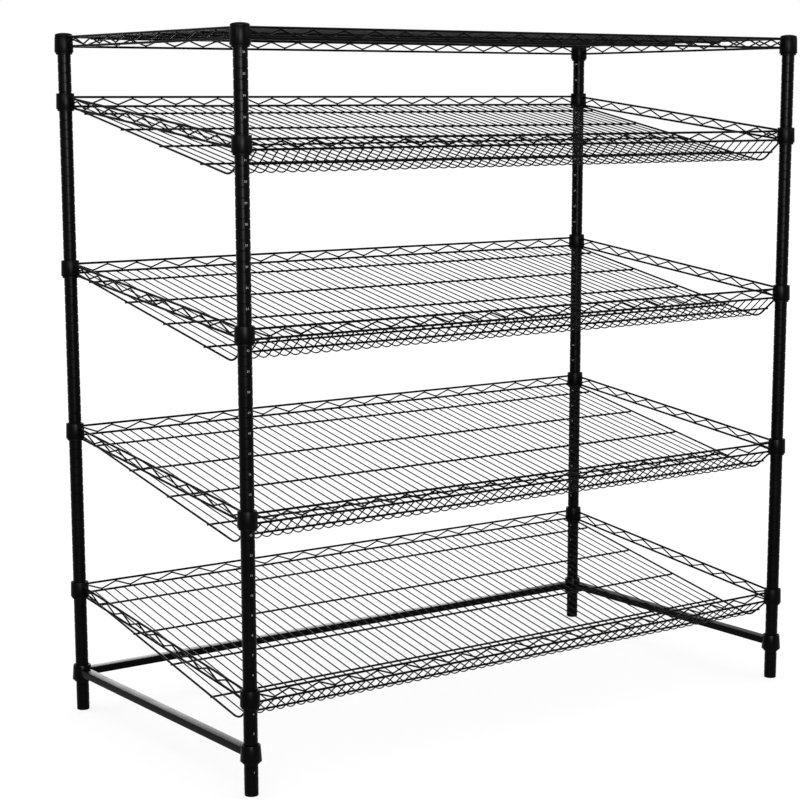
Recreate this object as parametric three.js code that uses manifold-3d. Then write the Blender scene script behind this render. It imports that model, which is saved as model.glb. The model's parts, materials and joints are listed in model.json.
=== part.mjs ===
// Bakery bread rack: four posts carry a three-sided base frame, four slanted wire shelves with a raised
// front lip and a flat top shelf, each clamped to the posts by tapered collars on split sleeves.
// Millimetres, +Z up, floor at Z = 0, the origin under the middle of the rack, the front facing -Y.
import * as THREE from 'three';
import { mergeVertices } from 'three/addons/utils/BufferGeometryUtils.js';
import loadManifold from 'manifold-3d';

const wasm = await loadManifold();
wasm.setup();

// Posts
const POST_SPACING_X = 1450;
const POST_SPACING_Y = 730;
const POST_DIAMETER = 28.6;
const POST_WALL = 1.6;
const POST_LENGTH = 1488;
const POST_SIDES = 12;
const INSERT_LENGTH = 25;

// Levelling feet and caps
const FOOT_DIAMETER = 28;
const FOOT_HEIGHT = 10;
const FOOT_EDGE = 1.5;
const STEM_DIAMETER = 9.5;
const STEM_LENGTH = 38;
const CAP_LIP = 4.5;
const CAP_RIM = 2;
const CAP_RISE = 4.5;
const CAP_PLUG = 14;
const TURNED_SIDES = 8;

// Heights: levels sit on grooves that are counted up the post from the floor
const GROOVE_PITCH = 20;
const BASE_HEIGHT = 88;
const SLANTED_SHELVES = 4;
const BOTTOM_SHELF_GROOVES = 10;
const TOP_BAY_GROOVES = 10;
const SLOPE_GROOVES = 4;

// Collars and split sleeves
const COLLAR_HEIGHT = 34;
const COLLAR_WALL = 2.2;
const COLLAR_FLARE = 0.9;
const BASE_FLARE = 2.6;
const SLEEVE_TOP_WALL = 1.3;
const SLEEVE_BOTTOM_WALL = 3;
const SLEEVE_TAIL = 4;
const SLEEVE_RECESS = 3;
const SLEEVE_SLIT = 1.2;
const COLLAR_SIDES = 8;

// Perimeter trusses: two chord wires and a zigzag wire between them
const CHORD_DIAMETER = 5;
const CHORD_SIDES = 4;
const TOP_CHORD_OFFSET = 13;
const BOTTOM_CHORD_OFFSET = -7;
const ZIGZAG_DIAMETER = 3.4;
const ZIGZAG_HALF_PITCH = 37;

// Wire decks
const DECK_WIRE_COUNT = 59;
const DECK_WIRE_DIAMETER = 2.6;
const EDGE_WIRE_DIAMETER = 5;
const DECK_BAR_DIAMETER = 5;
const CROSS_WIRE_DIAMETER = 4.5;
const DECK_INSET = 28;
const CROSS_WIRE_OVERHANG = 4;
const CROSS_WIRE_COUNT = 4;
const FIRST_CROSS_WIRE = 69;
const CROSS_WIRE_PITCH = 155;
const BEND_DROP = 60;
const BEND_SETBACK = 112;
const LIP_WIRE_RISE = 57;
const EDGE_WIRE_TRIM = 3;

// Base frame
const RAIL_SIZE = 19;

// Clearances
const FIT_GAP = 0.3;
const END_GAP = 0.7;

const COLUMN_X = POST_SPACING_X / 2;
const COLUMN_Y = POST_SPACING_Y / 2;
const POST_RADIUS = POST_DIAMETER / 2;
const POST_BOTTOM = FOOT_HEIGHT + FIT_GAP;
const POST_TOP = POST_BOTTOM + POST_LENGTH;
const TOP_GROOVE = Math.floor((POST_TOP - COLLAR_HEIGHT / 2) / GROOVE_PITCH);
const TOP_SLANTED_GROOVE = TOP_GROOVE - TOP_BAY_GROOVES;
const BAY_GROOVES = Math.floor((TOP_SLANTED_GROOVE - BOTTOM_SHELF_GROOVES) / (SLANTED_SHELVES - 1));
const SLOPE_RISE = SLOPE_GROOVES * GROOVE_PITCH;
const SLEEVE_BORE = POST_RADIUS + FIT_GAP;
const BORE_TOP = SLEEVE_BORE + SLEEVE_TOP_WALL + FIT_GAP;
const BORE_BOTTOM = SLEEVE_BORE + SLEEVE_BOTTOM_WALL + FIT_GAP;
const COLLAR_TOP_RADIUS = BORE_BOTTOM + COLLAR_WALL - COLLAR_FLARE;
const COLLAR_BOTTOM_RADIUS = BORE_BOTTOM + COLLAR_WALL;
const CORNERS = {
  front_left: [-1, -1],
  front_right: [1, -1],
  back_left: [-1, 1],
  back_right: [1, 1],
};

const coat = new THREE.MeshStandardMaterial({ color: 0x141516, roughness: 0.42, metalness: 0.1 });
const tubeCoat = new THREE.MeshStandardMaterial({ color: 0x191a1c, roughness: 0.36, metalness: 0.15 });
const plastic = new THREE.MeshStandardMaterial({ color: 0x0e0e0f, roughness: 0.55, metalness: 0 });

// Joins and cuts

function toSolid(geometry) {
  const bare = geometry.clone();
  bare.deleteAttribute('normal');
  bare.deleteAttribute('uv');
  const merged = mergeVertices(bare, 1e-4);
  const triangles = [];
  const index = merged.index.array;
  for (let i = 0; i < index.length; i += 3) {
    const [a, b, c] = [index[i], index[i + 1], index[i + 2]];
    if (a !== b && b !== c && c !== a) triangles.push(a, b, c);
  }
  return new wasm.Manifold(new wasm.Mesh({
    numProp: 3,
    vertProperties: new Float32Array(merged.attributes.position.array),
    triVerts: new Uint32Array(triangles),
  }));
}

function toGeometry(solid) {
  const mesh = solid.getMesh();
  const geometry = new THREE.BufferGeometry();
  geometry.setAttribute('position', new THREE.BufferAttribute(mesh.vertProperties, 3));
  geometry.setIndex(new THREE.BufferAttribute(mesh.triVerts, 1));
  geometry.computeVertexNormals();
  return geometry;
}

function weld(geometries, cuts = []) {
  const joined = geometries.map(toSolid).reduce((whole, piece) => whole.add(piece));
  return toGeometry(cuts.map(toSolid).reduce((whole, cut) => whole.subtract(cut), joined));
}

// Round pieces, standing on Z, with flats facing X and Y

function revolve(profile, sides) {
  const points = profile.map(([radius, z]) => new THREE.Vector2(radius, z));
  return new THREE.LatheGeometry(points, sides, Math.PI / sides).rotateX(Math.PI / 2);
}

function overFlats(radius, sides) {
  return radius / Math.cos(Math.PI / sides);
}

function collarPoint([radius, z]) {
  return [overFlats(radius, COLLAR_SIDES), z];
}

// Wires: a polygon of the round wire's area, swept along straight runs

function wireSection(diameter, sides, turn) {
  const sector = (2 * Math.PI) / sides;
  const radius = (diameter / 2) * Math.sqrt((2 * Math.PI) / (sides * Math.sin(sector)));
  const corners = [];
  for (let i = 0; i < sides; i += 1) {
    const angle = turn + i * sector;
    corners.push(new THREE.Vector2(radius * Math.cos(angle), radius * Math.sin(angle)));
  }
  return new THREE.Shape(corners);
}

function sectionRadius(diameter, sides) {
  return wireSection(diameter, sides, 0).getPoints()[0].length();
}

function sectionFlat(diameter, sides) {
  return sectionRadius(diameter, sides) * Math.cos(Math.PI / sides);
}

class Polyline extends THREE.Curve {
  constructor(points, side) {
    super();
    this.points = points;
    this.side = side;
  }

  at(t) {
    return Math.round(t * (this.points.length - 1));
  }

  getPointAt(t, target = new THREE.Vector3()) {
    return target.copy(this.points[this.at(t)]);
  }

  getTangentAt(t, target = new THREE.Vector3()) {
    const i = this.at(t);
    const here = this.points[i];
    const before = this.points[i - 1];
    const after = this.points[i + 1];
    target.set(0, 0, 0);
    if (before) target.add(here.clone().sub(before).normalize());
    if (after) target.add(after.clone().sub(here).normalize());
    return target.normalize();
  }

  computeFrenetFrames(segments) {
    const tangents = [];
    for (let i = 0; i <= segments; i += 1) tangents.push(this.getTangentAt(i / segments));
    const normals = tangents.map(() => this.side);
    const binormals = tangents.map((tangent) => tangent.clone().cross(this.side));
    return { tangents, normals, binormals };
  }
}

// The path lies in the plane square to side, and the section's second axis lies in that plane
function bentWire(points, side, section) {
  return new THREE.ExtrudeGeometry(section, {
    steps: points.length - 1,
    extrudePath: new Polyline(points, side),
  });
}

function straightWire(start, end, section, up = new THREE.Vector3(0, 0, 1)) {
  const along = end.clone().sub(start);
  const length = along.length();
  along.normalize();
  const across = up.clone().cross(along).normalize();
  const over = along.clone().cross(across);
  const placing = new THREE.Matrix4().makeBasis(across, over, along).setPosition(start);
  return new THREE.ExtrudeGeometry(section, { depth: length, bevelEnabled: false }).applyMatrix4(placing);
}

function crossWire(y, z, diameter, up) {
  const reach = COLUMN_X - DECK_INSET + CROSS_WIRE_OVERHANG;
  const start = new THREE.Vector3(-reach, y, z);
  const end = new THREE.Vector3(reach, y, z);
  return straightWire(start, end, wireSection(diameter, 4, Math.PI / 4), up);
}

// Posts, feet and caps

function postGeometry() {
  const bore = POST_RADIUS - POST_WALL;
  const stemBore = overFlats(STEM_DIAMETER / 2 + FIT_GAP, POST_SIDES);
  return revolve([
    [stemBore, 0],
    [POST_RADIUS, 0],
    [POST_RADIUS, POST_LENGTH],
    [bore, POST_LENGTH],
    [bore, INSERT_LENGTH],
    [stemBore, INSERT_LENGTH],
    [stemBore, 0],
  ], POST_SIDES);
}

function footGeometry() {
  const radius = FOOT_DIAMETER / 2;
  return revolve([
    [0, 0],
    [radius - FOOT_EDGE, 0],
    [radius, FOOT_EDGE],
    [radius, FOOT_HEIGHT],
    [STEM_DIAMETER / 2, FOOT_HEIGHT],
    [STEM_DIAMETER / 2, FOOT_HEIGHT + STEM_LENGTH],
    [0, FOOT_HEIGHT + STEM_LENGTH],
  ], TURNED_SIDES);
}

function capGeometry() {
  const rim = POST_RADIUS + CAP_LIP;
  const plug = (POST_RADIUS - POST_WALL) * Math.cos(Math.PI / POST_SIDES) - FIT_GAP;
  const dome = [0.3, 0.6, 1].map((turn) => [
    rim * Math.cos((turn * Math.PI) / 2),
    CAP_RIM + CAP_RISE * Math.sin((turn * Math.PI) / 2),
  ]);
  dome[dome.length - 1][0] = 0;
  return revolve([
    [0, -CAP_PLUG],
    [plug, -CAP_PLUG],
    [plug, 0],
    [rim, 0],
    [rim, CAP_RIM],
    ...dome,
  ], TURNED_SIDES);
}

// Sleeves and collars, both about the collar's mid height

function boreRadius(z) {
  return THREE.MathUtils.mapLinear(z, -COLLAR_HEIGHT / 2, COLLAR_HEIGHT / 2, BORE_BOTTOM, BORE_TOP);
}

function sleeveGeometry() {
  const bottom = -COLLAR_HEIGHT / 2;
  const tail = bottom - SLEEVE_TAIL;
  const top = COLLAR_HEIGHT / 2 - SLEEVE_RECESS;
  const ring = revolve([
    [SLEEVE_BORE, tail],
    [BORE_BOTTOM - FIT_GAP, tail],
    [boreRadius(top) - FIT_GAP, top],
    [SLEEVE_BORE, top],
    [SLEEVE_BORE, tail],
  ].map(collarPoint), COLLAR_SIDES);
  const slit = new THREE.BoxGeometry(BORE_BOTTOM * 2, SLEEVE_SLIT, COLLAR_HEIGHT * 2);
  return weld([ring], [slit.translate(BORE_BOTTOM, 0, 0)]);
}

function collarSolid(x, y, z, flare = 0) {
  const half = COLLAR_HEIGHT / 2;
  return revolve([
    [0, -half],
    [COLLAR_BOTTOM_RADIUS + flare, -half],
    [COLLAR_TOP_RADIUS, half],
    [0, half],
  ].map(collarPoint), COLLAR_SIDES).translate(x, y, z);
}

function collarBore(x, y, z) {
  const reach = COLLAR_HEIGHT;
  return revolve([
    [0, -reach],
    [boreRadius(-reach), -reach],
    [boreRadius(reach), reach],
    [0, reach],
  ].map(collarPoint), COLLAR_SIDES).translate(x, y, z);
}

function collarRadius(z) {
  const half = COLLAR_HEIGHT / 2;
  return THREE.MathUtils.mapLinear(z, -half, half, COLLAR_BOTTOM_RADIUS, COLLAR_TOP_RADIUS);
}

// Trusses run between two points at collar mid height

function zigzagPoints(start, end) {
  const span = start.distanceTo(end);
  const bends = 2 * Math.round((span / ZIGZAG_HALF_PITCH - 1) / 2) + 1;
  const reach = sectionFlat(CHORD_DIAMETER, CHORD_SIDES) + FIT_GAP;
  const half = sectionRadius(ZIGZAG_DIAMETER, 3) * Math.sin(Math.PI / 3);
  const high = TOP_CHORD_OFFSET - reach - half;
  const low = BOTTOM_CHORD_OFFSET + reach + half;
  const points = [];
  for (let i = 0; i <= bends; i += 1) {
    const point = start.clone().lerp(end, i / bends);
    point.z += i % 2 === 0 ? high : low;
    points.push(point);
  }
  points[0].z += TOP_CHORD_OFFSET - high;
  points[bends].z += BOTTOM_CHORD_OFFSET - low;
  return points;
}

function chord(start, end, offset) {
  const raise = new THREE.Vector3(0, 0, offset);
  return straightWire(start.clone().add(raise), end.clone().add(raise), wireSection(CHORD_DIAMETER, CHORD_SIDES, Math.PI / 4));
}

function trussWires(start, end) {
  const side = new THREE.Vector3(0, 0, 1).cross(end.clone().sub(start)).normalize();
  const share = CHORD_DIAMETER / start.distanceTo(end);
  const zigzag = zigzagPoints(start.clone().lerp(end, share), end.clone().lerp(start, share));
  return [
    chord(start, end, TOP_CHORD_OFFSET),
    chord(start, end, BOTTOM_CHORD_OFFSET),
    bentWire(zigzag, side, wireSection(ZIGZAG_DIAMETER, 3, 0)),
  ];
}

function collaredTruss(y, z) {
  const ends = [-COLUMN_X, COLUMN_X];
  const wires = trussWires(new THREE.Vector3(ends[0], y, z), new THREE.Vector3(ends[1], y, z));
  const collars = ends.map((x) => collarSolid(x, y, z));
  return weld([...wires, ...collars], ends.map((x) => collarBore(x, y, z)));
}

function sideTruss(x) {
  const setback = collarRadius(BOTTOM_CHORD_OFFSET) + END_GAP;
  const rise = (SLOPE_RISE * setback) / POST_SPACING_Y;
  const front = new THREE.Vector3(x, setback - COLUMN_Y, rise);
  const back = new THREE.Vector3(x, COLUMN_Y - setback, SLOPE_RISE - rise);
  return weld(trussWires(front, back));
}

function topFrameGeometry() {
  const corners = Object.values(CORNERS).map(([sx, sy]) => new THREE.Vector3(sx * COLUMN_X, sy * COLUMN_Y, 0));
  const [frontLeft, frontRight, backLeft, backRight] = corners;
  const sides = [[frontLeft, frontRight], [backLeft, backRight], [frontLeft, backLeft], [frontRight, backRight]];
  const wires = sides.flatMap(([start, end]) => trussWires(start, end));
  const collars = corners.map(({ x, y, z }) => collarSolid(x, y, z));
  return weld([...wires, ...collars], corners.map(({ x, y, z }) => collarBore(x, y, z)));
}

// Decks: wires from back to front, all on one back bar, over long cross wires. A profile is a list of
// [y, z] points from the back bar to the front end, with the back bar at [0, 0] and the deck level.

function deckColumns() {
  const reach = COLUMN_X - DECK_INSET;
  const columns = [];
  for (let i = 0; i < DECK_WIRE_COUNT; i += 1) {
    columns.push(THREE.MathUtils.lerp(-reach, reach, i / (DECK_WIRE_COUNT - 1)));
  }
  return columns;
}

function shortened(profile, trim) {
  const [y, z] = profile[profile.length - 1];
  const [lastY, lastZ] = profile[profile.length - 2];
  const share = trim / Math.hypot(y - lastY, z - lastZ);
  const end = [THREE.MathUtils.lerp(y, lastY, share), THREE.MathUtils.lerp(z, lastZ, share)];
  return [...profile.slice(0, -1), end];
}

function deckWire(x, profile, diameter) {
  const points = profile.map(([y, z]) => new THREE.Vector3(x, y, z));
  return bentWire(points, new THREE.Vector3(1, 0, 0), wireSection(diameter, 3, Math.PI / 2));
}

function deckWires(profile) {
  const [left, ...inner] = deckColumns();
  const right = inner.pop();
  const edge = shortened(profile, EDGE_WIRE_TRIM);
  return [
    ...inner.map((x) => deckWire(x, profile, DECK_WIRE_DIAMETER)),
    ...[left, right].map((x) => deckWire(x, edge, EDGE_WIRE_DIAMETER)),
  ];
}

// A long wire under a straight run of the deck, at a distance along that run
function underWire(from, to, distance) {
  const along = new THREE.Vector3(0, to[0] - from[0], to[1] - from[1]).normalize();
  const up = along.clone().cross(new THREE.Vector3(1, 0, 0));
  const depth = sectionFlat(DECK_WIRE_DIAMETER, 3) + FIT_GAP + sectionFlat(CROSS_WIRE_DIAMETER, 4);
  const at = new THREE.Vector3(0, ...from).addScaledVector(along, distance).addScaledVector(up, -depth);
  return crossWire(at.y, at.z, CROSS_WIRE_DIAMETER, up);
}

function deckSheet(profile) {
  const [back, front] = profile;
  const wires = [...deckWires(profile), crossWire(...back, DECK_BAR_DIAMETER)];
  for (let i = 0; i < CROSS_WIRE_COUNT; i += 1) {
    wires.push(underWire(back, front, FIRST_CROSS_WIRE + i * CROSS_WIRE_PITCH));
  }
  return wires;
}

function chordClear(reach) {
  return COLUMN_Y - sectionFlat(CHORD_DIAMETER, CHORD_SIDES) - FIT_GAP - reach;
}

const DECK_BACK = chordClear(sectionRadius(DECK_BAR_DIAMETER, 4));
const TOP_DECK_BACK = chordClear(sectionFlat(DECK_BAR_DIAMETER, 4));
const DECK_FRONT = -chordClear(sectionRadius(DECK_WIRE_DIAMETER, 3));
const DECK_DROP = SLOPE_RISE + BEND_DROP;
const DECK_RUN = DECK_BACK - (BEND_SETBACK - COLUMN_Y);
const DECK_SLOPE = Math.atan2(DECK_DROP, DECK_RUN);

function slantedDeck() {
  const bend = [-Math.hypot(DECK_RUN, DECK_DROP), 0];
  const lip = new THREE.Vector2(DECK_FRONT - DECK_BACK, -SLOPE_RISE);
  lip.rotateAround(new THREE.Vector2(), -DECK_SLOPE);
  const front = [lip.x, lip.y];
  return weld([...deckSheet([[0, 0], bend, front]), underWire(bend, front, LIP_WIRE_RISE)]);
}

function flatDeck() {
  return weld(deckSheet([[0, 0], [DECK_FRONT - TOP_DECK_BACK, 0]]));
}

// Base frame: rails on the left, the back and the right, open to the front

function baseFrameGeometry() {
  const section = new THREE.Shape();
  const half = RAIL_SIZE / 2;
  section.moveTo(-half, -half).lineTo(half, -half).lineTo(half, half).lineTo(-half, half);
  const corners = Object.values(CORNERS).map(([sx, sy]) => new THREE.Vector3(sx * COLUMN_X, sy * COLUMN_Y, 0));
  const [frontLeft, frontRight, backLeft, backRight] = corners;
  const rails = [[frontLeft, backLeft], [backLeft, backRight], [frontRight, backRight]]
    .map(([start, end]) => straightWire(start, end, section));
  const collars = corners.map(({ x, y }) => collarSolid(x, y, 0, BASE_FLARE));
  return weld([...rails, ...collars], corners.map(({ x, y }) => collarBore(x, y, 0)));
}

// Assembly

function named(name, geometry, material) {
  const mesh = new THREE.Mesh(geometry, material);
  mesh.name = name;
  return mesh;
}

function placed(object, x, y, z) {
  object.position.set(x, y, z);
  return object;
}

function columns() {
  const group = new THREE.Group();
  const [post, foot, cap] = [postGeometry(), footGeometry(), capGeometry()];
  for (const [corner, [sx, sy]] of Object.entries(CORNERS)) {
    const [x, y] = [sx * COLUMN_X, sy * COLUMN_Y];
    group.add(placed(named(`post_${corner}`, post, tubeCoat), x, y, POST_BOTTOM));
    group.add(placed(named(`foot_${corner}`, foot, plastic), x, y, 0));
    group.add(placed(named(`cap_${corner}`, cap, plastic), x, y, POST_TOP + FIT_GAP));
  }
  return group;
}

function sleeves(level, rise) {
  const group = new THREE.Group();
  for (const [corner, [sx, sy]] of Object.entries(CORNERS)) {
    const sleeve = named(`sleeve_${level}_${corner}`, sleeveParts.geometry, plastic);
    group.add(placed(sleeve, sx * COLUMN_X, sy * COLUMN_Y, sy > 0 ? rise : 0));
  }
  return group;
}

function slantedShelf(level) {
  const group = new THREE.Group();
  const deck = placed(named(`${level}_deck`, shelfParts.deck, coat), 0, DECK_BACK, SLOPE_RISE + BOTTOM_CHORD_OFFSET);
  deck.rotation.x = DECK_SLOPE;
  group.add(
    named(`${level}_front_truss`, shelfParts.frontTruss, coat),
    named(`${level}_back_truss`, shelfParts.backTruss, coat),
    named(`${level}_left_truss`, shelfParts.leftTruss, coat),
    named(`${level}_right_truss`, shelfParts.rightTruss, coat),
    deck,
    sleeves(level, SLOPE_RISE),
  );
  return group;
}

const sleeveParts = { geometry: sleeveGeometry() };
const shelfParts = {
  frontTruss: collaredTruss(-COLUMN_Y, 0),
  backTruss: collaredTruss(COLUMN_Y, SLOPE_RISE),
  leftTruss: sideTruss(-COLUMN_X),
  rightTruss: sideTruss(COLUMN_X),
  deck: slantedDeck(),
};

const rack = new THREE.Group();
rack.add(columns());

const base = new THREE.Group();
base.add(named('base_frame', baseFrameGeometry(), tubeCoat), sleeves('base', 0));
rack.add(placed(base, 0, 0, BASE_HEIGHT));

for (let i = 0; i < SLANTED_SHELVES; i += 1) {
  const groove = TOP_SLANTED_GROOVE - (SLANTED_SHELVES - 1 - i) * BAY_GROOVES;
  rack.add(placed(slantedShelf(`shelf_${i + 1}`), 0, 0, groove * GROOVE_PITCH));
}

const top = new THREE.Group();
top.add(
  named('top_frame', topFrameGeometry(), coat),
  placed(named('top_deck', flatDeck(), coat), 0, TOP_DECK_BACK, TOP_CHORD_OFFSET),
  sleeves('top', 0),
);
rack.add(placed(top, 0, 0, TOP_GROOVE * GROOVE_PITCH));

export default rack;
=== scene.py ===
"""Dresses the bakery bread rack: round wires, grooved posts, black epoxy coat and a plain studio."""

import json
import logging
import math
from dataclasses import dataclass, field
from enum import Enum

import bpy
from mathutils import Matrix, Vector

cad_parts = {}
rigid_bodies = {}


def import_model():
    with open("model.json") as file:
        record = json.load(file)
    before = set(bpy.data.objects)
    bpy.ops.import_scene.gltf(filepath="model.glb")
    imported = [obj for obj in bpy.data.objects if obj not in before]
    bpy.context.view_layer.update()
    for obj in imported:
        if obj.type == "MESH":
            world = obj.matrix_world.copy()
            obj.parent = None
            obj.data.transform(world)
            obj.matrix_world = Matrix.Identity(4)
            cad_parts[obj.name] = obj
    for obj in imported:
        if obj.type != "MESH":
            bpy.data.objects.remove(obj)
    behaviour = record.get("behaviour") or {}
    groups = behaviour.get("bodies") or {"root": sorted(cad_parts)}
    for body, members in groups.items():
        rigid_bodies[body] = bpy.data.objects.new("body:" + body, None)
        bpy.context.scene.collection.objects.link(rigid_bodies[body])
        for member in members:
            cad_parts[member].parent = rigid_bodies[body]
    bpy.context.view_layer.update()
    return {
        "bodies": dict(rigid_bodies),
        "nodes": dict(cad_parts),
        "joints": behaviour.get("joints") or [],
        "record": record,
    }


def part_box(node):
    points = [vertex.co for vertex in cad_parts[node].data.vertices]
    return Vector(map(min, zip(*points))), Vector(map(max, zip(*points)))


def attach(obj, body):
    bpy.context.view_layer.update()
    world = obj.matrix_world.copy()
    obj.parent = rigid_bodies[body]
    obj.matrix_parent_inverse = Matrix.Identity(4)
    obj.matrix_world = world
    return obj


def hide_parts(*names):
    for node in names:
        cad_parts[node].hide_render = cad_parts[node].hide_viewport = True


log = logging.getLogger("bread_rack")

Point = tuple[float, float, float]
RACK_BODY = "rack"
UP = Vector((0, 0, 1))
SIDEWAYS = Vector((1, 0, 0))

# Edges that turn by more than this stay sharp
SHARP_ANGLE = math.radians(38)
# How near its axis the profile of a solid turned piece ends
AXIS_HOLE = 0.0002


class Corner(Enum):
    """The four posts, by the sign of X and of Y."""

    FRONT_LEFT = (-1, -1)
    FRONT_RIGHT = (1, -1)
    BACK_LEFT = (-1, 1)
    BACK_RIGHT = (1, 1)

    @property
    def label(self) -> str:
        """The corner's name in the frame's nodes."""
        return self.name.lower()


class Level(Enum):
    """What is clamped to the posts, from the floor up."""

    BASE = "base"
    SHELF_1 = "shelf_1"
    SHELF_2 = "shelf_2"
    SHELF_3 = "shelf_3"
    SHELF_4 = "shelf_4"
    TOP = "top"


SLANTED = (Level.SHELF_1, Level.SHELF_2, Level.SHELF_3, Level.SHELF_4)

# The way that each post's numbers face, in degrees from +X
NUMBER_FACING = {
    Corner.FRONT_LEFT: -95.0,
    Corner.FRONT_RIGHT: 90.0,
    Corner.BACK_LEFT: 68.0,
    Corner.BACK_RIGHT: -157.0,
}


def node_centre(node: str) -> Vector:
    """Finds the middle of a frame node's box.

    Args:
        node: The node's name.

    Returns:
        The middle point in metres.
    """
    low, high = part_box(node)
    return (Vector(low) + Vector(high)) / 2


def collar_middles(height: float) -> dict[Corner, Vector]:
    """Finds the middles of the four collars of a level that lies flat.

    Args:
        height: The level's height.

    Returns:
        A point on each post's axis.
    """
    middles = {}
    for corner in Corner:
        post = node_centre(f"post_{corner.label}")
        middles[corner] = Vector((post.x, post.y, height))
    return middles


@dataclass(frozen=True)
class Paint:
    """A built material, and the name of the record's slot that goes with it, if any."""

    material: bpy.types.Material
    slot: str


class Sketch:
    """Gathers the vertices and faces of one piece before it becomes a mesh."""

    def __init__(self) -> None:
        """Starts an empty sketch."""
        self.vertices: list[Point] = []
        self.faces: list[tuple[int, ...]] = []

    def ring_sheet(self, rings: list[list[Vector]], wrap: bool = False) -> None:
        """Skins a run of rings that all have the same number of points.

        Args:
            rings: The rings, each a closed loop of points.
            wrap: Whether the last ring joins the first. Otherwise both get a cap.
        """
        start = len(self.vertices)
        count = len(rings[0])
        for ring in rings:
            self.vertices.extend(tuple(point) for point in ring)
        steps = len(rings) if wrap else len(rings) - 1
        for step in range(steps):
            here = start + step * count
            there = start + ((step + 1) % len(rings)) * count
            for side in range(count):
                after = (side + 1) % count
                self.faces.append((here + side, here + after, there + after, there + side))
        if not wrap:
            self.faces.append(tuple(start + side for side in reversed(range(count))))
            last = start + (len(rings) - 1) * count
            self.faces.append(tuple(last + side for side in range(count)))

    def sweep(self, path: list[Vector], section: list[tuple[float, float]], up: Vector) -> None:
        """Sweeps a section along a path.

        Args:
            path: The points of the path.
            section: The section's points, across and over the path.
            up: A direction that the path never runs along.
        """
        rings = []
        for index, point in enumerate(path):
            before = path[max(index - 1, 0)]
            after = path[min(index + 1, len(path) - 1)]
            along = (after - before).normalized()
            across = up.cross(along).normalized()
            over = along.cross(across)
            rings.append([point + across * a + over * b for a, b in section])
        self.ring_sheet(rings)

    def wire(self, path: list[Vector], diameter: float, up: Vector, sides: int = 10) -> None:
        """Sweeps a round wire along a path.

        Args:
            path: The points of the path.
            diameter: The wire's diameter.
            up: A direction that the path never runs along.
            sides: The points round the wire.
        """
        radius = diameter / 2
        turns = [2 * math.pi * side / sides for side in range(sides)]
        self.sweep(path, [(radius * math.cos(turn), radius * math.sin(turn)) for turn in turns], up)

    @staticmethod
    def turned_ring(profile: list[tuple[float, float]], centre: Vector, turn: float) -> list[Vector]:
        """Turns a profile to one angle round a vertical axis.

        Args:
            profile: Radius and height pairs.
            centre: The point of the axis at height 0.
            turn: The angle.

        Returns:
            The profile's points there, from the last to the first, so that faces look outward.
        """
        outward = Vector((math.cos(turn), math.sin(turn), 0))
        return [centre + outward * radius + UP * z for radius, z in reversed(profile)]

    def turned(self, profile: list[tuple[float, float]], centre: Vector, sides: int = 40) -> None:
        """Turns a closed profile round a vertical axis.

        Args:
            profile: Radius and height pairs, going up the section's outside and down its inside.
            centre: The point of the axis at height 0.
            sides: The steps round the axis.
        """
        turns = [2 * math.pi * side / sides for side in range(sides)]
        self.ring_sheet([self.turned_ring(profile, centre, turn) for turn in turns], wrap=True)

    def arc_piece(
        self, profile: list[tuple[float, float]], centre: Vector, start: float, end: float, sides: int = 18
    ) -> None:
        """Turns a closed profile through part of a turn and caps its two ends.

        Args:
            profile: Radius and height pairs, going up the section's outside and down its inside.
            centre: The point of the axis at height 0.
            start: The first angle.
            end: The last angle.
            sides: The steps between them.
        """
        turns = [start + (end - start) * side / sides for side in range(sides + 1)]
        self.ring_sheet([self.turned_ring(profile, centre, turn) for turn in turns])

    def bead(self, centre: Vector, radius: Vector, sides: int = 10, stacks: int = 5) -> None:
        """Adds a weld bead, an ellipsoid.

        Args:
            centre: The bead's middle.
            radius: Its half sizes along X, Y and Z.
            sides: The points round it.
            stacks: The rings from bottom to top.
        """
        rings = []
        for stack in range(1, stacks):
            tilt = math.pi * stack / stacks - math.pi / 2
            ring = []
            for side in range(sides):
                turn = 2 * math.pi * side / sides
                flat = math.cos(tilt)
                shape = (math.cos(turn) * flat, math.sin(turn) * flat, math.sin(tilt))
                ring.append(centre + Vector(a * b for a, b in zip(shape, radius)))
            rings.append(ring)
        self.ring_sheet(rings)

    def finish(self, name: str, paint: Paint, body: str, *nodes: str) -> None:
        """Makes the sketch into an object that stands for frame nodes.

        Args:
            name: The object's name.
            paint: Its finish.
            body: The body it moves with.
            nodes: The nodes that it stands for.
        """
        mesh = bpy.data.meshes.new(name)
        mesh.from_pydata(self.vertices, [], self.faces)
        mesh.materials.append(paint.material)
        mesh.shade_smooth()
        mesh.set_sharp_from_angle(angle=SHARP_ANGLE)
        piece = bpy.data.objects.new(name, mesh)
        bpy.context.scene.collection.objects.link(piece)
        if nodes:
            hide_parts(*nodes)
        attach(piece, body)
        log.info("%s: %d faces", name, len(self.faces))


# Shader groups and finishes

# The least upward tilt of a surface that holds dust
DUST_TILT = 0.35
# The stretch of the cloud mask over which the gloss changes
CLOUD_LOW, CLOUD_HIGH = 0.3, 0.7
PEEL_STRENGTH = 0.35
PEEL_DETAIL, CLOUD_DETAIL = 2.0, 4.0
EPOXY_BLACK = (0.0012, 0.0012, 0.0013)
PLASTIC_BLACK = (0.0012, 0.0012, 0.0013)


def new_group(name: str, inputs: dict[str, float], outputs: dict[str, str]) -> bpy.types.ShaderNodeTree:
    """Starts a shader group.

    Args:
        name: The group's name.
        inputs: Float input names and their default values.
        outputs: Output names and their socket types.

    Returns:
        The group, with its sockets made.
    """
    group = bpy.data.node_groups.new(name, "ShaderNodeTree")
    for label, value in inputs.items():
        socket = group.interface.new_socket(label, in_out="INPUT", socket_type="NodeSocketFloat")
        socket.default_value = value
    for label, kind in outputs.items():
        group.interface.new_socket(label, in_out="OUTPUT", socket_type=kind)
    return group


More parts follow.
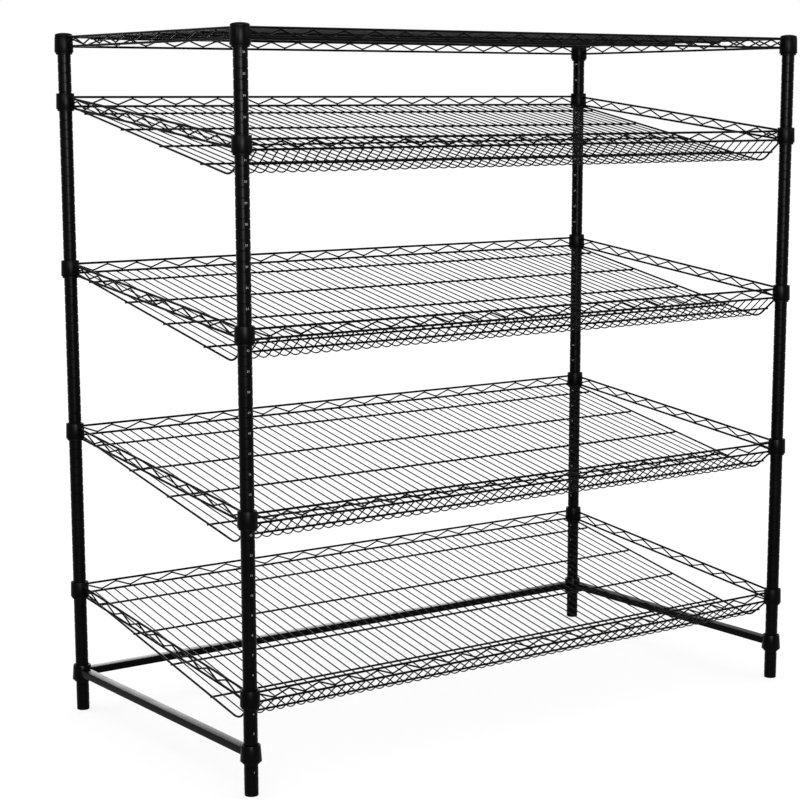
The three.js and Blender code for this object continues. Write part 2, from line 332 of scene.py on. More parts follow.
def build_coat_skin() -> bpy.types.ShaderNodeTree:
    """Makes the orange-peel skin of a sprayed coat: a height, and a mask of cloudy gloss.

    Returns:
        The shader group.
    """
    outputs = {"Height": "NodeSocketFloat", "Cloud": "NodeSocketFloat"}
    group = new_group("coat_skin", {"Peel Scale": 900.0, "Cloud Scale": 14.0}, outputs)
    nodes, links = group.nodes, group.links
    source, sink = nodes.new("NodeGroupInput"), nodes.new("NodeGroupOutput")
    place = nodes.new("ShaderNodeTexCoord")
    peel, cloud = nodes.new("ShaderNodeTexNoise"), nodes.new("ShaderNodeTexNoise")
    peel.inputs["Detail"].default_value = PEEL_DETAIL
    cloud.inputs["Detail"].default_value = CLOUD_DETAIL
    for noise, scale in ((peel, "Peel Scale"), (cloud, "Cloud Scale")):
        links.new(place.outputs["Object"], noise.inputs["Vector"])
        links.new(source.outputs[scale], noise.inputs["Scale"])
    links.new(peel.outputs["Fac"], sink.inputs["Height"])
    links.new(cloud.outputs["Fac"], sink.inputs["Cloud"])
    return group


def build_dust() -> bpy.types.ShaderNodeTree:
    """Makes a mask of fine dust that settles on what faces up.

    Returns:
        The shader group.
    """
    group = new_group("settled_dust", {"Amount": 0.3, "Patch Scale": 40.0}, {"Mask": "NodeSocketFloat"})
    nodes, links = group.nodes, group.links
    source, sink = nodes.new("NodeGroupInput"), nodes.new("NodeGroupOutput")
    place, surface = nodes.new("ShaderNodeTexCoord"), nodes.new("ShaderNodeNewGeometry")
    axes, patch = nodes.new("ShaderNodeSeparateXYZ"), nodes.new("ShaderNodeTexNoise")
    links.new(surface.outputs["Normal"], axes.inputs["Vector"])
    links.new(place.outputs["Object"], patch.inputs["Vector"])
    links.new(source.outputs["Patch Scale"], patch.inputs["Scale"])
    facing = nodes.new("ShaderNodeMapRange")
    facing.inputs["From Min"].default_value = DUST_TILT
    facing.inputs["From Max"].default_value = 1.0
    links.new(axes.outputs["Z"], facing.inputs["Value"])
    patched, scaled = nodes.new("ShaderNodeMath"), nodes.new("ShaderNodeMath")
    patched.operation = scaled.operation = "MULTIPLY"
    links.new(facing.outputs["Result"], patched.inputs[0])
    links.new(patch.outputs["Fac"], patched.inputs[1])
    links.new(patched.outputs["Value"], scaled.inputs[0])
    links.new(source.outputs["Amount"], scaled.inputs[1])
    links.new(scaled.outputs["Value"], sink.inputs["Mask"])
    return group


@dataclass(frozen=True)
class CoatFinish:
    """A sprayed or moulded black finish with orange peel, cloudy gloss and settled dust."""

    name: str
    slot: str
    colour: tuple[float, float, float]
    dust_colour: tuple[float, float, float]
    roughness_low: float
    roughness_high: float
    peel_scale: float
    peel_depth: float
    dust: float
    specular: float

    def build(self, skin: bpy.types.ShaderNodeTree, dust: bpy.types.ShaderNodeTree) -> Paint:
        """Makes the material.

        Args:
            skin: The coat skin group.
            dust: The settled dust group.

        Returns:
            The material with its slot.
        """
        material = bpy.data.materials.new(self.name)
        material.use_nodes = True
        nodes, links = material.node_tree.nodes, material.node_tree.links
        shader = nodes["Principled BSDF"]
        shader.inputs["Specular IOR Level"].default_value = self.specular
        skin_node, dust_node = nodes.new("ShaderNodeGroup"), nodes.new("ShaderNodeGroup")
        skin_node.node_tree, dust_node.node_tree = skin, dust
        skin_node.inputs["Peel Scale"].default_value = self.peel_scale
        dust_node.inputs["Amount"].default_value = self.dust
        colour = nodes.new("ShaderNodeMix")
        colour.data_type = "RGBA"
        colour.inputs["A"].default_value = (*self.colour, 1.0)
        colour.inputs["B"].default_value = (*self.dust_colour, 1.0)
        links.new(dust_node.outputs["Mask"], colour.inputs["Factor"])
        links.new(colour.outputs["Result"], shader.inputs["Base Color"])
        gloss = nodes.new("ShaderNodeMapRange")
        gloss.inputs["From Min"].default_value = CLOUD_LOW
        gloss.inputs["From Max"].default_value = CLOUD_HIGH
        gloss.inputs["To Min"].default_value = self.roughness_low
        gloss.inputs["To Max"].default_value = self.roughness_high
        links.new(skin_node.outputs["Cloud"], gloss.inputs["Value"])
        links.new(gloss.outputs["Result"], shader.inputs["Roughness"])
        bump = nodes.new("ShaderNodeBump")
        bump.inputs["Strength"].default_value = PEEL_STRENGTH
        bump.inputs["Distance"].default_value = self.peel_depth
        links.new(skin_node.outputs["Height"], bump.inputs["Height"])
        links.new(bump.outputs["Normal"], shader.inputs["Normal"])
        return Paint(material, self.slot)


WIRE_COAT = CoatFinish(
    name="wire_epoxy_black",
    slot="wire_coat",
    colour=EPOXY_BLACK,
    dust_colour=(0.05, 0.05, 0.052),
    roughness_low=0.30,
    roughness_high=0.42,
    peel_scale=1100.0,
    peel_depth=0.00012,
    dust=0.06,
    specular=0.026,
)
POST_COAT = CoatFinish(
    name="post_epoxy_black",
    slot="post_coat",
    colour=EPOXY_BLACK,
    dust_colour=(0.05, 0.05, 0.052),
    roughness_low=0.24,
    roughness_high=0.34,
    peel_scale=900.0,
    peel_depth=0.00012,
    dust=0.06,
    specular=0.032,
)
BLACK_PLASTIC = CoatFinish(
    name="moulded_plastic_black",
    slot="black_plastic",
    colour=PLASTIC_BLACK,
    dust_colour=(0.05, 0.05, 0.05),
    roughness_low=0.42,
    roughness_high=0.55,
    peel_scale=1600.0,
    peel_depth=0.00008,
    dust=0.08,
    specular=0.028,
)
NUMBER_INK = CoatFinish(
    name="number_ink_pale",
    slot="",
    colour=(0.50, 0.50, 0.49),
    dust_colour=(0.55, 0.55, 0.54),
    roughness_low=0.5,
    roughness_high=0.6,
    peel_scale=1600.0,
    peel_depth=0.00005,
    dust=0.1,
    specular=0.3,
)


@dataclass(frozen=True)
class Finishes:
    """The rack's materials."""

    wire: Paint
    post: Paint
    plastic: Paint
    ink: Paint

    @classmethod
    def build(cls) -> "Finishes":
        """Makes the shared groups once and every material from them.

        Returns:
            The materials.
        """
        skin, dust = build_coat_skin(), build_dust()
        coats = (WIRE_COAT, POST_COAT, BLACK_PLASTIC, NUMBER_INK)
        return cls(*(coat.build(skin, dust) for coat in coats))


# The rack's pieces, in metres


@dataclass
class Collar:
    """A tapered clamp ring round a post, with the split sleeve that it grips."""

    height: float = 0.034
    bore_top: float = 0.0165
    bore_bottom: float = 0.0182
    outer_top: float = 0.0195
    outer_bottom: float = 0.0204
    edge: float = 0.0010
    edge_middle: float = 0.0003
    weld_depth: float = 0.001
    sleeve_bore: float = 0.01445
    sleeve_edge: float = 0.0006
    sleeve_gap: float = 0.0003
    sleeve_squeeze: float = 0.0001
    slit: float = 0.05

    @property
    def grip(self) -> float:
        """How far from the post's axis the wires welded to the collar start."""
        return self.outer_top - self.weld_depth

    def draw(self, sketch: Sketch, centre: Vector, flare: float = 0.0) -> None:
        """Draws the ring.

        Args:
            sketch: The sketch to draw in.
            centre: The collar's middle.
            flare: How much wider its lower rim is than a shelf collar's.
        """
        half, edge, middle = self.height / 2, self.edge, self.edge_middle
        low, high = self.outer_bottom + flare, self.outer_top
        sketch.turned(
            [
                (self.bore_bottom, -half),
                (low - edge, -half),
                (low - middle, -half + middle),
                (low, -half + edge),
                (high, half - edge),
                (high - middle, half - middle),
                (high - edge, half),
                (self.bore_top, half),
            ],
            centre,
        )

    def sleeve(self, name: str, finish: Paint) -> None:
        """Makes the two half sleeves in place of their frame node.

        Args:
            name: The node's name.
            finish: The plastic.
        """
        low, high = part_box(name)
        middle = node_centre(name)
        centre = Vector((middle.x, middle.y, 0))
        bottom, top, edge = low[2], high[2], self.sleeve_edge
        wide, narrow = self.bore_bottom - self.sleeve_gap, self.bore_top + self.sleeve_squeeze
        profile = [
            (self.sleeve_bore, bottom),
            (wide - edge, bottom),
            (wide, bottom + edge),
            (narrow, top - edge),
            (narrow - edge, top),
            (self.sleeve_bore, top),
        ]
        sketch = Sketch()
        for start in (0.0, math.pi):
            sketch.arc_piece(profile, centre, start + self.slit, start + math.pi - self.slit)
        sketch.finish(f"{name}_halves", finish, RACK_BODY, name)


@dataclass
class Cap:
    """The domed cap on a post, with its plug and the skirt round the tube."""

    lip: float = 0.0045
    rim: float = 0.002
    edge: float = 0.0004
    skirt: float = 0.0012
    skirt_gap: float = 0.0003
    plug_gap: float = 0.0004
    seat_gap: float = 0.0002
    dome_step: float = math.radians(10)
    dome_steps: int = 9

    def build(self, post: "Post", finish: Paint) -> None:
        """Makes the cap.

        Args:
            post: The post that it sits on.
            finish: The plastic.
        """
        node = f"cap_{post.corner.label}"
        low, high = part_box(node)
        rim, inside = post.radius + self.lip, post.radius + self.skirt_gap
        plug = post.bore - self.plug_gap
        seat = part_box(post.node)[1][2] + self.seat_gap
        skirt, shoulder = seat - self.skirt, seat + self.rim
        rise = high[2] - shoulder
        dome = [self.dome_step * step for step in range(self.dome_steps)]
        profile = [(AXIS_HOLE, low[2]), (plug, low[2]), (plug, seat), (inside, seat)]
        profile += [(inside, skirt), (rim - self.edge, skirt), (rim, skirt + self.edge)]
        profile += [(rim * math.cos(turn), shoulder + rise * math.sin(turn)) for turn in dome]
        profile.append((AXIS_HOLE, high[2]))
        sketch = Sketch()
        sketch.turned(profile, post.axis, post.sides)
        sketch.finish(f"{node}_dome", finish, RACK_BODY, node)


@dataclass
class Foot:
    """A levelling foot: a round pad with a threaded stem."""

    radius: float = 0.0140
    height: float = 0.010
    edge: float = 0.0015
    edge_in: float = 0.0004
    edge_up: float = 0.0005
    top_edge: float = 0.0006
    stem_radius: float = 0.0046
    thread_pitch: float = 0.002
    thread_depth: float = 0.0005

    def build(self, post: "Post", finish: Paint) -> None:
        """Makes the foot.

        Args:
            post: The post that it screws into.
            finish: The plastic.
        """
        node = f"foot_{post.corner.label}"
        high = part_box(node)[1][2]
        pad, stem, height, pitch = self.radius, self.stem_radius, self.height, self.thread_pitch
        profile = [(AXIS_HOLE, 0.0), (pad - self.edge, 0.0)]
        profile += [(pad - self.edge_in, self.edge_up), (pad, self.edge)]
        profile += [(pad, height - self.top_edge), (pad - self.top_edge, height), (stem, height)]
        for turn in range(int((high - height) / pitch)):
            z = height + pitch * turn
            profile += [(stem - self.thread_depth, z + pitch / 4), (stem, z + pitch * 3 / 4)]
        profile += [(stem, high), (AXIS_HOLE, high)]
        sketch = Sketch()
        sketch.turned(profile, post.axis, post.sides)
        sketch.finish(f"{node}_screw", finish, f"{node}_body", node)


@dataclass
class Post:
    """A grooved tube with its numbers, its cap and its levelling foot."""

    corner: Corner
    radius: float = 0.0143
    bore: float = 0.0127
    bottom_edge: float = 0.0006
    top_edge: float = 0.0004
    groove_pitch: float = 0.020
    groove_depth: float = 0.0009
    groove_half: float = 0.0014
    groove_floor: float = 0.00049
    number_height: float = 0.0040
    number_stretch: float = 1.1
    number_lift: float = 0.00012
    digit_share: float = 0.7
    sides: int = 36
    cap: Cap = field(default_factory=Cap)
    foot: Foot = field(default_factory=Foot)
    axis: Vector = field(init=False)
    facing: float = field(init=False)

    def __post_init__(self) -> None:
        """Takes the post's axis from its node, and the side of its numbers from its corner."""
        middle = node_centre(self.node)
        self.axis = Vector((middle.x, middle.y, 0))
        self.facing = math.radians(NUMBER_FACING[self.corner])

    @property
    def node(self) -> str:
        """The post's node."""
        return f"post_{self.corner.label}"

    def grooves(self) -> list[float]:
        """Lists the grooves, which lie on whole steps of the pitch above the floor.

        Returns:
            Their heights.
        """
        low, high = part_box(self.node)
        first = math.ceil((low[2] + 2 * self.groove_half) / self.groove_pitch)
        last = math.floor((high[2] - 2 * self.groove_half) / self.groove_pitch)
        return [step * self.groove_pitch for step in range(first, last + 1)]

    def build_tube(self, finish: Paint) -> None:
        """Makes the grooved tube.

        Args:
            finish: The coat.
        """
        low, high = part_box(self.node)
        bottom, top, floor = low[2], high[2], self.radius - self.groove_depth
        outer = [(self.radius - self.bottom_edge, bottom), (self.radius, bottom + self.bottom_edge)]
        for z in self.grooves():
            outer.append((self.radius, z - self.groove_half))
            outer.append((floor, z - self.groove_floor))
            outer.append((floor, z + self.groove_floor))
            outer.append((self.radius, z + self.groove_half))
        outer += [(self.radius, top - self.top_edge), (self.radius - self.top_edge, top)]
        sketch = Sketch()
        sketch.turned([*outer, (self.bore, top), (self.bore, bottom)], self.axis, self.sides)
        sketch.finish(f"{self.node}_tube", finish, RACK_BODY, self.node)

    def build_numbers(self, finish: Paint) -> None:
        """Makes the small numbers, one above every second groove.

        Args:
            finish: The ink.
        """
        sketch = Sketch()
        for number, z in enumerate(self.grooves()[1::2], start=1):
            self.draw_number(sketch, number, z + self.groove_pitch / 2)
        sketch.finish(f"numbers_{self.corner.label}", finish, RACK_BODY)

    def draw_number(self, sketch: Sketch, number: int, z: float) -> None:
        """Wraps one number round the post.

        Args:
            sketch: The sketch to draw in.
            number: The number.
            z: The height of its middle.
        """
        letters = bpy.data.curves.new("number", "FONT")
        letters.body = str(number)
        letters.size = self.number_height / self.digit_share
        letters.extrude = self.number_lift
        letters.align_x = "CENTER"
        letters.align_y = "CENTER"
        letters.resolution_u = 2
        holder = bpy.data.objects.new("number", letters)
        flat = holder.to_mesh()
        start = len(sketch.vertices)
        for vertex in flat.vertices:
            turn = self.facing + vertex.co.x * self.number_stretch / self.radius
            reach = self.radius + vertex.co.z
            spot = self.axis + Vector((math.cos(turn) * reach, math.sin(turn) * reach, z + vertex.co.y))
            sketch.vertices.append(tuple(spot))
        sketch.faces.extend(tuple(start + index for index in face.vertices) for face in flat.polygons)
        holder.to_mesh_clear()
        bpy.data.objects.remove(holder)
        bpy.data.curves.remove(letters)

    def build(self, finishes: Finishes) -> None:
        """Makes the whole column.

        Args:
            finishes: The rack's materials.
        """
        self.build_tube(finishes.post)
        self.build_numbers(finishes.ink)
        self.cap.build(self, finishes.plastic)
        self.foot.build(self, finishes.plastic)


@dataclass
class Truss:
    """Two chord wires with a zigzag wire between them, along one side of a shelf."""

    chord: float = 0.005
    zigzag: float = 0.0036
    top_offset: float = 0.009
    bottom_offset: float = -0.011
    half_pitch: float = 0.037
    bend_steps: int = 6
    bend_sharpness: float = 0.985
    sink: float = 0.0004
    bead: float = 0.0042
    bead_height: float = 0.00378

    def draw(self, sketch: Sketch, start: Vector, end: Vector, collar: float) -> None:
        """Draws the truss between two collar middles.

        Args:
            sketch: The sketch to draw in.
            start: The first collar's middle.
            end: The last collar's middle.
            collar: How far from each middle the wires start.
        """
        along = (end - start).normalized()
        first, last = start + along * collar, end - along * collar
        bead = Vector((self.bead, self.bead, self.bead_height))
        for offset in (self.top_offset, self.bottom_offset):
            lift = UP * offset
            sketch.wire([first + lift, last + lift], self.chord, UP, sides=12)
            for spot in (first, last):
                sketch.bead(spot + lift, bead)
        sketch.wire(self.zigzag_path(first, last), self.zigzag, along.cross(UP), sides=8)

    def zigzag_path(self, first: Vector, last: Vector) -> list[Vector]:
        """Works out the zigzag's path, with rounded bends.

        Args:
            first: The near end, at collar middle height.
            last: The far end.

        Returns:
            The path's points.
        """
        span = (last - first).length
        bends = 2 * round((span / self.half_pitch - 1) / 2) + 1
        middle = (self.top_offset + self.bottom_offset) / 2
        swing = (self.top_offset - self.bottom_offset - self.chord - self.zigzag) / 2 + self.sink
        points = []
        for step in range(bends * self.bend_steps + 1):
            turn = math.pi * (step / self.bend_steps + 0.5)
            wave = math.asin(self.bend_sharpness * math.sin(turn)) / math.asin(self.bend_sharpness)
            share = step / (bends * self.bend_steps)
            points.append(first.lerp(last, share) + UP * (middle + swing * wave))
        return points


@dataclass
class Deck:
    """Thin wires from back to front over long cross wires, with a raised front lip on a slanted shelf."""

    wire: float = 0.0028
    edge_wire: float = 0.0046
    cross: float = 0.0045
    count: int = 59
    inset: float = 0.011
    edge_trim: float = 0.012
    overhang: float = 0.0005
    first_cross: float = 0.066
    cross_pitch: float = 0.166
    cross_count: int = 4
    lip_rise: float = 0.037
    bend_radius: float = 0.040
    bend_steps: int = 6
    sink: float = 0.0004
    wander: float = 0.0005
    wander_turns: tuple[float, float] = (2.4, 1.1)

    def touch(self, chord: float) -> Vector:
        """Finds how far a deck wire's end stands off the middle of the chord that it is welded to.

        Args:
            chord: The chord's diameter.

        Returns:
            The distance, as a step along Y.
        """
        return Vector((0, (chord + self.wire) / 2 - self.sink, 0))

    def columns(self, reach: float) -> list[float]:
        """Spaces the wires along the shelf.

        Args:
            reach: The distance from the middle to an edge wire.

        Returns:
            Their X places.
        """
        return [-reach + 2 * reach * step / (self.count - 1) for step in range(self.count)]

    def rounded(self, profile: list[Vector]) -> list[Vector]:
        """Rounds the one bend of a wire's profile.

        Args:
            profile: Two or three points.

        Returns:
            The points with a smooth curve at the bend.
        """
        if len(profile) < 3:
            return profile
        back, bend, front = profile
        to_back, to_front = (back - bend).normalized(), (front - bend).normalized()
        half = to_back.angle(to_front) / 2
        reach = self.bend_radius / math.tan(half)
        enter, leave = bend + to_back * reach, bend + to_front * reach
        curve = []
        for step in range(self.bend_steps + 1):
            share = step / self.bend_steps
            curve.append(enter.lerp(bend, share).lerp(bend.lerp(leave, share), share))
        return [back, *curve, front]

    def trimmed(self, path: list[Vector]) -> list[Vector]:
        """Shortens an edge wire at both ends, so that it stops at the collars.

        Args:
            path: The points of a wire between the trusses.

        Returns:
            The points with the two ends moved in.
        """
        start = path[0] + (path[1] - path[0]).normalized() * self.edge_trim
        end = path[-1] + (path[-2] - path[-1]).normalized() * self.edge_trim
        return [start, *path[1:-1], end]

    def draw(self, sketch: Sketch, profile: list[Vector], reach: float) -> None:
        """Draws the deck.

        Args:
            sketch: The sketch to draw in.
            profile: The wires' run at X = 0, from the back to the front.
            reach: The distance from the middle to an edge wire.
        """
        path = self.rounded(profile)
        columns = self.columns(reach)
        fast, slow = self.wander_turns
        for step, x in enumerate(columns):
            edge = step in (0, len(columns) - 1)
            drift = self.wander * math.sin(step * fast) * math.cos(step * slow)
            diameter = self.edge_wire if edge else self.wire
            run = self.trimmed(path) if edge else path
            sketch.wire([point + SIDEWAYS * (x + drift) for point in run], diameter, SIDEWAYS, sides=8)
        for step in range(self.cross_count):
            distance = self.first_cross + step * self.cross_pitch
            self.draw_cross(sketch, profile[0], profile[1], distance, reach)
        if len(profile) > 2:
            self.draw_cross(sketch, profile[1], profile[2], self.lip_rise, reach)

    def draw_cross(self, sketch: Sketch, start: Vector, end: Vector, distance: float, reach: float) -> None:
        """Draws one long wire under a straight run of the deck.

        Args:
            sketch: The sketch to draw in.
            start: The run's first point.
            end: The run's last point.
            distance: How far along the run the wire lies.
            reach: The distance from the middle to an edge wire.
        """
        along = (end - start).normalized()
        down = -along.cross(SIDEWAYS)
        at = start + along * distance + down * ((self.wire + self.cross) / 2 - self.sink)
        side = SIDEWAYS * (reach + self.overhang)
        sketch.wire([at - side, at + side], self.cross, UP, sides=10)


@dataclass
class SlantedShelf:
    """One slanted shelf: four trusses with collars, and a deck whose bend is fitted to the photograph."""

    level: Level
    collar: Collar = field(default_factory=Collar)
    truss: Truss = field(default_factory=Truss)
    deck: Deck = field(default_factory=Deck)
    bend_drop: float = 0.049
    bend_setback: float = 0.062

    def corner(self, sign_x: int, sign_y: int) -> Vector:
        """Finds a collar's middle.

        Args:
            sign_x: The side of the rack.
            sign_y: The front or the back.

        Returns:
            The middle of the collar there.
        """
        label = Corner((sign_x, sign_y)).label
        side = "front" if sign_y < 0 else "back"
        post, rail = node_centre(f"post_{label}"), node_centre(f"{self.level.value}_{side}_truss")
        return Vector((post.x, post.y, rail.z))

    def build(self, finishes: Finishes) -> None:
        """Makes the shelf's pieces.

        Args:
            finishes: The rack's materials.
        """
        for side, sign in (("front", -1), ("back", 1)):
            sketch = Sketch()
            ends = [self.corner(-1, sign), self.corner(1, sign)]
            self.truss.draw(sketch, *ends, self.collar.grip)
            for end in ends:
                self.collar.draw(sketch, end)
            node = f"{self.level.value}_{side}_truss"
            sketch.finish(f"{node}_wires", finishes.wire, RACK_BODY, node)
        for side, sign in (("left", -1), ("right", 1)):
            sketch = Sketch()
            self.truss.draw(sketch, self.corner(sign, -1), self.corner(sign, 1), self.collar.grip)
            node = f"{self.level.value}_{side}_truss"
            sketch.finish(f"{node}_wires", finishes.wire, RACK_BODY, node)
        self.build_deck(finishes.wire)
        for corner in Corner:
            self.collar.sleeve(f"sleeve_{self.level.value}_{corner.label}", finishes.plastic)

    def build_deck(self, finish: Paint) -> None:
        """Makes the deck, from the back truss down to the bend and up to the front truss.

        Args:
            finish: The coat.
        """
        front_collar, back_collar = self.corner(1, -1), self.corner(1, 1)
        low = UP * self.truss.bottom_offset
        touch = self.deck.touch(self.truss.chord)
        back = Vector((0, back_collar.y, back_collar.z)) + low - touch
        front = Vector((0, front_collar.y, front_collar.z)) + low + touch
        bend = Vector((0, front_collar.y + self.bend_setback, front_collar.z - self.bend_drop)) + low
        sketch = Sketch()
        self.deck.draw(sketch, [back, bend, front], front_collar.x - self.deck.inset)
        node = f"{self.level.value}_deck"
        sketch.finish(f"{node}_wires", finish, RACK_BODY, node)


@dataclass
class TopShelf:
    """The flat top shelf: a frame of four trusses with collars, and a deck of stouter wire."""

    collar: Collar = field(default_factory=Collar)
    truss: Truss = field(default_factory=lambda: Truss(top_offset=0.016, bottom_offset=-0.004))
    deck: Deck = field(
        default_factory=lambda: Deck(
            wire=0.0036, cross=0.0056, inset=0.028, edge_trim=0.0, first_cross=0.069, cross_pitch=0.155
        )
    )

    def build(self, finishes: Finishes) -> None:
        """Makes the shelf's pieces.

        Args:
            finishes: The rack's materials.
        """
        spots = collar_middles(node_centre("top_frame").z)
        frame = Sketch()
        for first, last in (
            (Corner.FRONT_LEFT, Corner.FRONT_RIGHT),
            (Corner.BACK_LEFT, Corner.BACK_RIGHT),
            (Corner.FRONT_LEFT, Corner.BACK_LEFT),
            (Corner.FRONT_RIGHT, Corner.BACK_RIGHT),
        ):
            self.truss.draw(frame, spots[first], spots[last], self.collar.grip)
        for spot in spots.values():
            self.collar.draw(frame, spot)
        frame.finish("top_frame_wires", finishes.wire, RACK_BODY, "top_frame")
        self.build_deck(finishes.wire, spots[Corner.FRONT_RIGHT], spots[Corner.BACK_RIGHT])
        for corner in Corner:
            self.collar.sleeve(f"sleeve_{Level.TOP.value}_{corner.label}", finishes.plastic)

    def build_deck(self, finish: Paint, front: Vector, back: Vector) -> None:
        """Makes the flat deck between the front and the back top chords.

        Args:
            finish: The coat.
            front: A front collar's middle.
            back: The back collar's middle on the same side.
        """
        lift = UP * self.truss.top_offset
        touch = self.deck.touch(self.truss.chord)
        sketch = Sketch()
        back_end = Vector((0, back.y, back.z)) + lift - touch
        front_end = Vector((0, front.y, front.z)) + lift + touch
        self.deck.draw(sketch, [back_end, front_end], front.x - self.deck.inset)
        sketch.finish("top_deck_wires", finish, RACK_BODY, "top_deck")


@dataclass
class BaseFrame:
    """The three-sided frame of flat tube near the floor, open to the front."""

    collar: Collar = field(default_factory=Collar)
    width: float = 0.024
    height: float = 0.016
    rounding: float = 0.002
    rounding_steps: int = 4
    flare: float = 0.0016
    gap: float = 0.0005

    def section(self) -> list[tuple[float, float]]:
        """Works out the tube's rounded section.

        Returns:
            Its points, across and over the tube.
        """
        half_width, half_height = self.width / 2 - self.rounding, self.height / 2 - self.rounding
        points = []
        for quarter in range(4):
            middle = math.pi / 4 + quarter * math.pi / 2
            for step in range(self.rounding_steps + 1):
                turn = middle + (step / self.rounding_steps - 0.5) * math.pi / 2
                across = math.copysign(half_width, math.cos(middle)) + self.rounding * math.cos(turn)
                over = math.copysign(half_height, math.sin(middle)) + self.rounding * math.sin(turn)
                points.append((across, over))
        return points

    def build(self, finishes: Finishes) -> None:
        """Makes the frame and its sleeves.

        Args:
            finishes: The rack's materials.
        """
        spots = collar_middles(node_centre("base_frame").z)
        sketch = Sketch()
        for first, last in (
            (Corner.FRONT_LEFT, Corner.BACK_LEFT),
            (Corner.BACK_LEFT, Corner.BACK_RIGHT),
            (Corner.FRONT_RIGHT, Corner.BACK_RIGHT),
        ):
            along = (spots[last] - spots[first]).normalized()
            inset = along * (self.collar.bore_bottom + self.gap)
            sketch.sweep([spots[first] + inset, spots[last] - inset], self.section(), UP)
        for spot in spots.values():
            self.collar.draw(sketch, spot, self.flare)
        sketch.finish("base_frame_tube", finishes.post, RACK_BODY, "base_frame")
        for corner in Corner:
            self.collar.sleeve(f"sleeve_{Level.BASE.value}_{corner.label}", finishes.plastic)


# Studio


@dataclass(frozen=True)
class SoftBox:
    """A square soft light that shows only as a sheen on the coat, so that the floor stays evenly lit."""

    name: str
    place: Point
    target: Point
    size: float
    watts: float

    def hang(self) -> None:
        """Makes the lamp and points it at its target."""
        light = bpy.data.lights.new(self.name, "AREA")
        light.shape = "SQUARE"
        light.size = self.size
        light.energy = self.watts
        lamp = bpy.data.objects.new(self.name, light)
        lamp.visible_camera = False
        lamp.visible_diffuse = False
        lamp.location = self.place
        toward = Vector(self.target) - Vector(self.place)
        lamp.rotation_euler = toward.to_track_quat("-Z", "Y").to_euler()
        bpy.context.scene.collection.objects.link(lamp)


RACK_MIDDLE = (0.0, 0.0, 0.75)
UPPER_SHELVES = (0.0, 0.0, 1.2)
LEFT_RAIL = (-0.7, 0.0, 0.1)
SOFT_BOXES = (
    SoftBox("soft_box_front_left", place=(-4.2, -2.2, 2.6), target=RACK_MIDDLE, size=1.6, watts=120.0),
    SoftBox("soft_box_front_right", place=(2.8, -3.6, 2.8), target=RACK_MIDDLE, size=1.6, watts=60.0),
    SoftBox("soft_box_behind_camera", place=(-2.6, -4.6, 1.9), target=UPPER_SHELVES, size=2.0, watts=600.0),
    SoftBox("backdrop_glow", place=(2.2, 4.2, 0.9), target=LEFT_RAIL, size=2.2, watts=80.0),
)


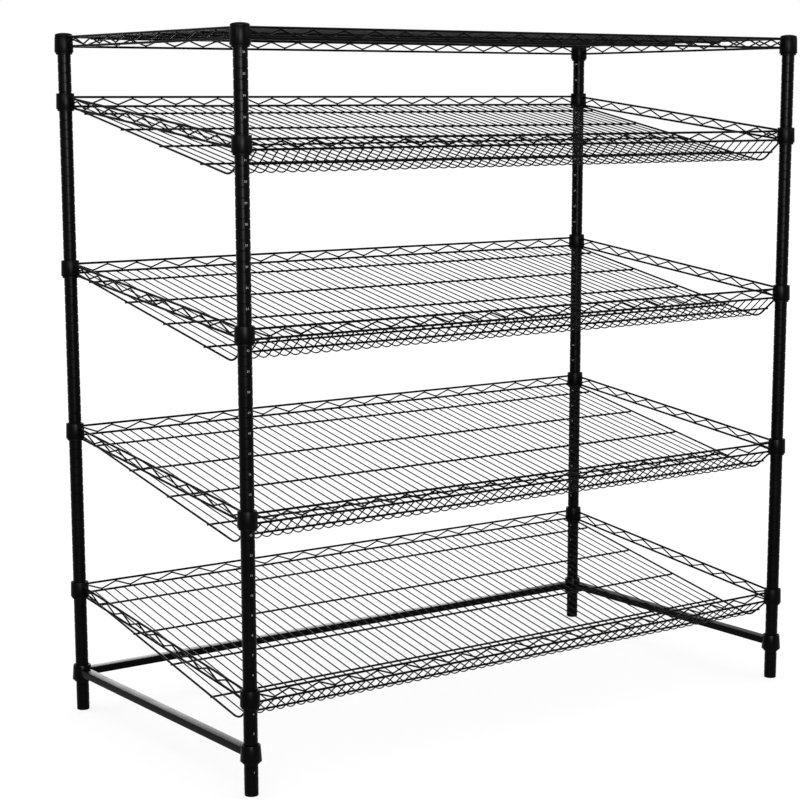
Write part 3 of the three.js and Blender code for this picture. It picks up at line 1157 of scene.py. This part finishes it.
@dataclass
class Studio:
    """A plain white floor and world, soft light and the camera."""

    floor_size: float = 60.0
    floor_colour: tuple[float, float, float] = (0.26, 0.26, 0.26)
    floor_glow: float = 0.76
    floor_roughness: float = 0.9
    world_light: float = 1.0
    sky_from: Point = (0.25, -0.2, 1.0)
    sky_spread: float = math.radians(120)
    sky_strength: float = 0.7
    camera_place: Point = (-2.7592, -3.7241, 1.3599)
    yaw: float = 0.62012
    pitch: float = 0.17107
    roll: float = 0.00233
    lens: float = 92.579
    sensor: float = 36.0
    shift_y: float = 0.07

    def build_floor(self) -> None:
        """Makes the floor, part of whose white is its own glow, so that shadows on it stay faint."""
        half = self.floor_size / 2
        mesh = bpy.data.meshes.new("studio_floor")
        corners = [(-half, -half, 0), (half, -half, 0), (half, half, 0), (-half, half, 0)]
        mesh.from_pydata(corners, [], [(0, 1, 2, 3)])
        material = bpy.data.materials.new("studio_floor_pale")
        material.use_nodes = True
        nodes, links = material.node_tree.nodes, material.node_tree.links
        shader, seen = nodes["Principled BSDF"], nodes.new("ShaderNodeLightPath")
        shader.inputs["Base Color"].default_value = (*self.floor_colour, 1.0)
        shader.inputs["Roughness"].default_value = self.floor_roughness
        shader.inputs["Specular IOR Level"].default_value = 0.0
        shader.inputs["Emission Color"].default_value = (1, 1, 1, 1)
        strength = nodes.new("ShaderNodeMapRange")
        strength.inputs["To Max"].default_value = self.floor_glow
        shows = seen.outputs["Is Camera Ray"]
        for ray in ("Is Glossy Ray", "Is Transmission Ray"):
            either = nodes.new("ShaderNodeMath")
            either.operation = "MAXIMUM"
            links.new(shows, either.inputs[0])
            links.new(seen.outputs[ray], either.inputs[1])
            shows = either.outputs["Value"]
        links.new(shows, strength.inputs["Value"])
        links.new(strength.outputs["Result"], shader.inputs["Emission Strength"])
        mesh.materials.append(material)
        floor = bpy.data.objects.new("studio_floor", mesh)
        bpy.context.scene.collection.objects.link(floor)

    def build_world(self) -> None:
        """Makes a plain white world, which is the backdrop, the fill light and what the coat reflects."""
        world = bpy.data.worlds.new("studio_world")
        bpy.context.scene.world = world
        world.use_nodes = True
        backdrop = world.node_tree.nodes["Background"]
        backdrop.inputs["Color"].default_value = (1, 1, 1, 1)
        backdrop.inputs["Strength"].default_value = self.world_light

    def build_lights(self) -> None:
        """Hangs the soft boxes and adds an even light from the whole sky."""
        for soft_box in SOFT_BOXES:
            soft_box.hang()
        light = bpy.data.lights.new("broad_sky", "SUN")
        light.angle = self.sky_spread
        light.energy = self.sky_strength
        lamp = bpy.data.objects.new("broad_sky", light)
        lamp.rotation_euler = (-Vector(self.sky_from)).to_track_quat("-Z", "Y").to_euler()
        bpy.context.scene.collection.objects.link(lamp)

    def build_camera(self) -> None:
        """Places the camera at the photograph's view."""
        data = bpy.data.cameras.new("photo_camera")
        data.lens = self.lens
        data.sensor_width = self.sensor
        data.shift_y = self.shift_y
        camera = bpy.data.objects.new("photo_camera", data)
        flat, tilt = math.cos(self.pitch), math.sin(self.pitch)
        forward = Vector((math.sin(self.yaw) * flat, math.cos(self.yaw) * flat, -tilt))
        right = Vector((math.cos(self.yaw), -math.sin(self.yaw), 0))
        down = forward.cross(right)
        turned_right = right * math.cos(self.roll) + down * math.sin(self.roll)
        turned_up = -(down * math.cos(self.roll) - right * math.sin(self.roll))
        turn = Matrix((turned_right, turned_up, -forward)).transposed().to_4x4()
        camera.matrix_world = Matrix.Translation(Vector(self.camera_place)) @ turn
        bpy.context.scene.collection.objects.link(camera)
        bpy.context.scene.camera = camera

    def build(self) -> None:
        """Makes the whole studio."""
        self.build_floor()
        self.build_world()
        self.build_lights()
        self.build_camera()
        bpy.context.scene.view_settings.view_transform = "Standard"


def main() -> None:
    """Builds the rack and the studio."""
    logging.basicConfig(level=logging.INFO, format="%(message)s")
    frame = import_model()
    Studio().build()
    finishes = Finishes.build()
    for corner in Corner:
        Post(corner).build(finishes)
    BaseFrame().build(finishes)
    for level in SLANTED:
        SlantedShelf(level).build(finishes)
    TopShelf().build(finishes)


if __name__ == "__main__":
    main()
